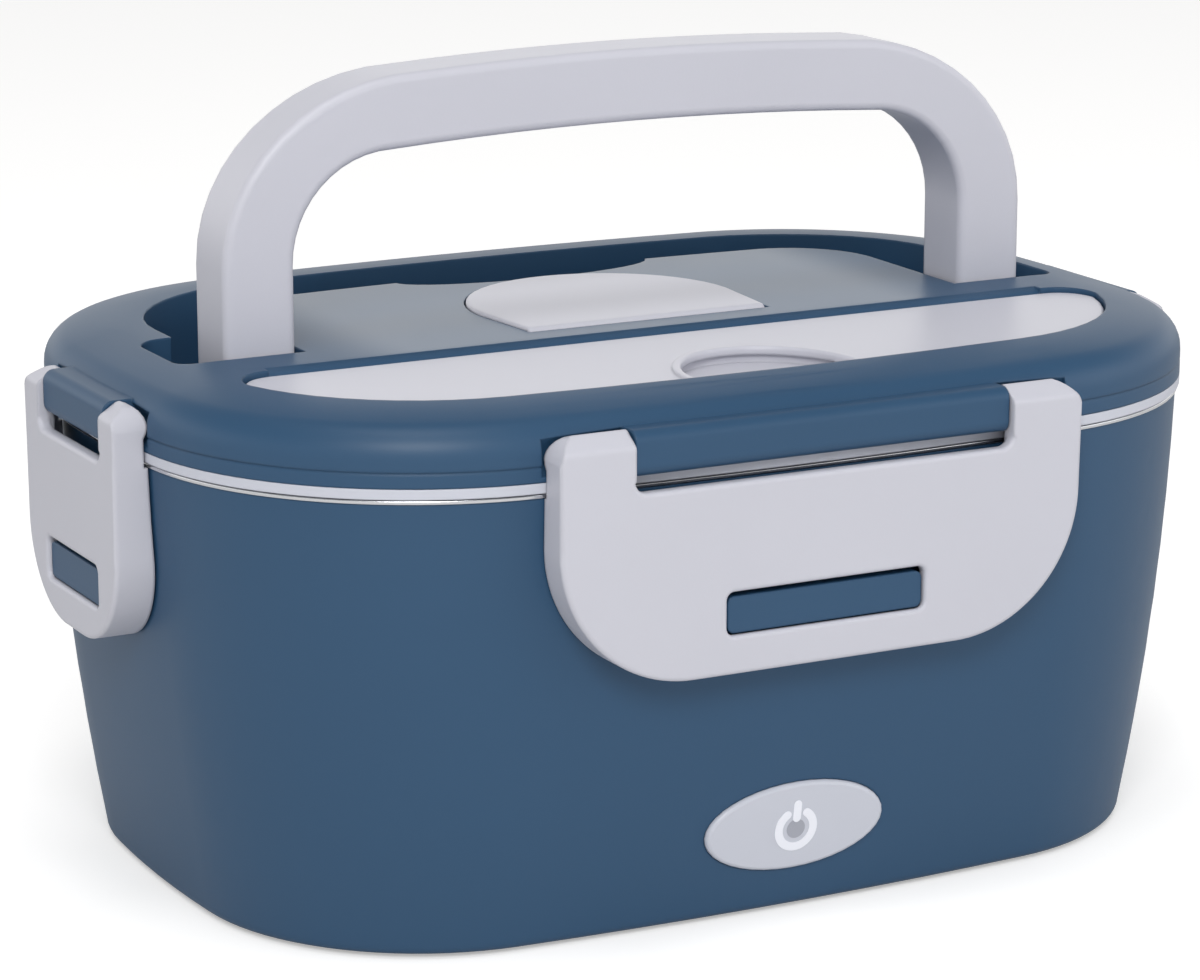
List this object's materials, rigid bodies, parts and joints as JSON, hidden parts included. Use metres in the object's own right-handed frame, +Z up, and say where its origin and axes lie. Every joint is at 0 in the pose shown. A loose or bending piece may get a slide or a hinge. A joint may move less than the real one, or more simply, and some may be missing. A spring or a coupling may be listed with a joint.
{
  "type": "electric lunch box",
  "caption": "Electric lunch box: rounded heated base with a steel container, lift-off lid with a folding arch handle, cutlery bay, vent flap and snap latches on all sides.",
  "frame": {"origin": "middle of the footprint of the whole object, at the height the feet rest on", "axes": "+X to the object's right along its longest side, -Y towards its front with the indicator lens, +Z up"},
  "size_m": [0.249, 0.1796, 0.1689],
  "materials": {
    "blue_plastic": "satin",
    "dark_plastic": "matte",
    "black_rubber": "matte",
    "screw_steel": "satin",
    "aluminium_sheet": "satin",
    "aluminium_cast": "matte",
    "ceramic": "matte",
    "bracket_steel": "satin",
    "brass_can": "satin",
    "fuse_sleeve": "matte",
    "board_green": "satin",
    "led_lens": "gloss",
    "lens_plastic": "satin",
    "black_plastic": "matte",
    "brass": "polished",
    "stainless_steel": "brushed",
    "liner_plastic": "satin",
    "seal_silicone": "matte",
    "pin_steel": "polished",
    "grey_plastic": "satin"
  },
  "bodies": {
    "base": {"base_casing": "blue_plastic", "bottom_cover": "dark_plastic", "rubber_feet": "black_rubber", "bottom_screws": "screw_steel", "heating_well": "aluminium_sheet", "heater_plate": "aluminium_cast", "heating_element": "ceramic", "element_bracket": "bracket_steel", "bracket_screws": "screw_steel", "thermostat": "brass_can", "thermal_fuse": "fuse_sleeve", "led_board": "board_green", "status_leds": "led_lens", "indicator_lens": "lens_plastic", "power_inlet": "black_plastic", "inlet_pins": "brass", "food_container": "stainless_steel"},
    "lid": {"lid_shell": "blue_plastic", "lid_liner": "liner_plastic", "lid_seal": "seal_silicone", "liner_screws": "screw_steel", "fork": "stainless_steel", "spoon": "stainless_steel", "handle_pins": "pin_steel", "vent_hinge_pin": "pin_steel"},
    "handle": {"handle": "grey_plastic"},
    "cutlery_cover": {"cutlery_cover": "grey_plastic"},
    "vent_flap": {"vent_flap": "grey_plastic", "vent_plug": "seal_silicone"},
    "latch_pin_front": {"latch_pin_front": "pin_steel"},
    "latch_front": {"latch_front": "grey_plastic"},
    "latch_pin_back": {"latch_pin_back": "pin_steel"},
    "latch_back": {"latch_back": "grey_plastic"},
    "latch_pin_left": {"latch_pin_left": "pin_steel"},
    "latch_left": {"latch_left": "grey_plastic"},
    "latch_pin_right": {"latch_pin_right": "pin_steel"},
    "latch_right": {"latch_right": "grey_plastic"}
  },
  "joints": [
    {"name": "lid_lift", "type": "slide", "parent": "base", "child": "lid", "axis": [0, 0, 1], "range_m": [0, 0.04]},
    {"name": "handle_fold", "type": "hinge", "parent": "lid", "child": "handle", "pos_m": [0, -0.0034, 0.10309], "axis": [-1, 0, 0], "range_deg": [0, 90]},
    {"name": "cutlery_cover_lift", "type": "slide", "parent": "lid", "child": "cutlery_cover", "axis": [0, 0, 1], "range_m": [0, 0.03]},
    {"name": "vent_flap_hinge", "type": "hinge", "parent": "lid", "child": "vent_flap", "pos_m": [0, -0.0133, 0.11089], "axis": [1, 0, 0], "range_deg": [0, 55]},
    {"name": "latch_pin_front_turn", "type": "hinge", "parent": "lid", "child": "latch_pin_front", "pos_m": [0, -0.08625, 0.1032], "axis": [-1, 0, 0], "range_deg": [0, 70]},
    {"name": "latch_front_hinge", "type": "hinge", "parent": "latch_pin_front", "child": "latch_front", "pos_m": [0, -0.08625, 0.1032], "axis": [-1, 0, 0], "range_deg": [0, 90]},
    {"name": "latch_pin_back_turn", "type": "hinge", "parent": "lid", "child": "latch_pin_back", "pos_m": [0, 0.08625, 0.1032], "axis": [1, 0, 0], "range_deg": [0, 70]},
    {"name": "latch_back_hinge", "type": "hinge", "parent": "latch_pin_back", "child": "latch_back", "pos_m": [0, 0.08625, 0.1032], "axis": [1, 0, 0], "range_deg": [0, 90]},
    {"name": "latch_pin_left_turn", "type": "hinge", "parent": "lid", "child": "latch_pin_left", "pos_m": [-0.1209, 0, 0.1032], "axis": [0, 1, 0], "range_deg": [0, 70]},
    {"name": "latch_left_hinge", "type": "hinge", "parent": "latch_pin_left", "child": "latch_left", "pos_m": [-0.1209, 0, 0.1032], "axis": [0, 1, 0], "range_deg": [0, 90]},
    {"name": "latch_pin_right_turn", "type": "hinge", "parent": "lid", "child": "latch_pin_right", "pos_m": [0.1209, 0, 0.1032], "axis": [0, -1, 0], "range_deg": [0, 70]},
    {"name": "latch_right_hinge", "type": "hinge", "parent": "latch_pin_right", "child": "latch_right", "pos_m": [0.1209, 0, 0.1032], "axis": [0, -1, 0], "range_deg": [0, 90]}
  ],
  "couplings": [
    {"joint": "latch_pin_front_turn", "follows": "lid_lift", "rad_per_m": 30.5},
    {"joint": "latch_pin_back_turn", "follows": "lid_lift", "rad_per_m": 30.5},
    {"joint": "latch_pin_left_turn", "follows": "lid_lift", "rad_per_m": 30.5},
    {"joint": "latch_pin_right_turn", "follows": "lid_lift", "rad_per_m": 30.5}
  ]
}
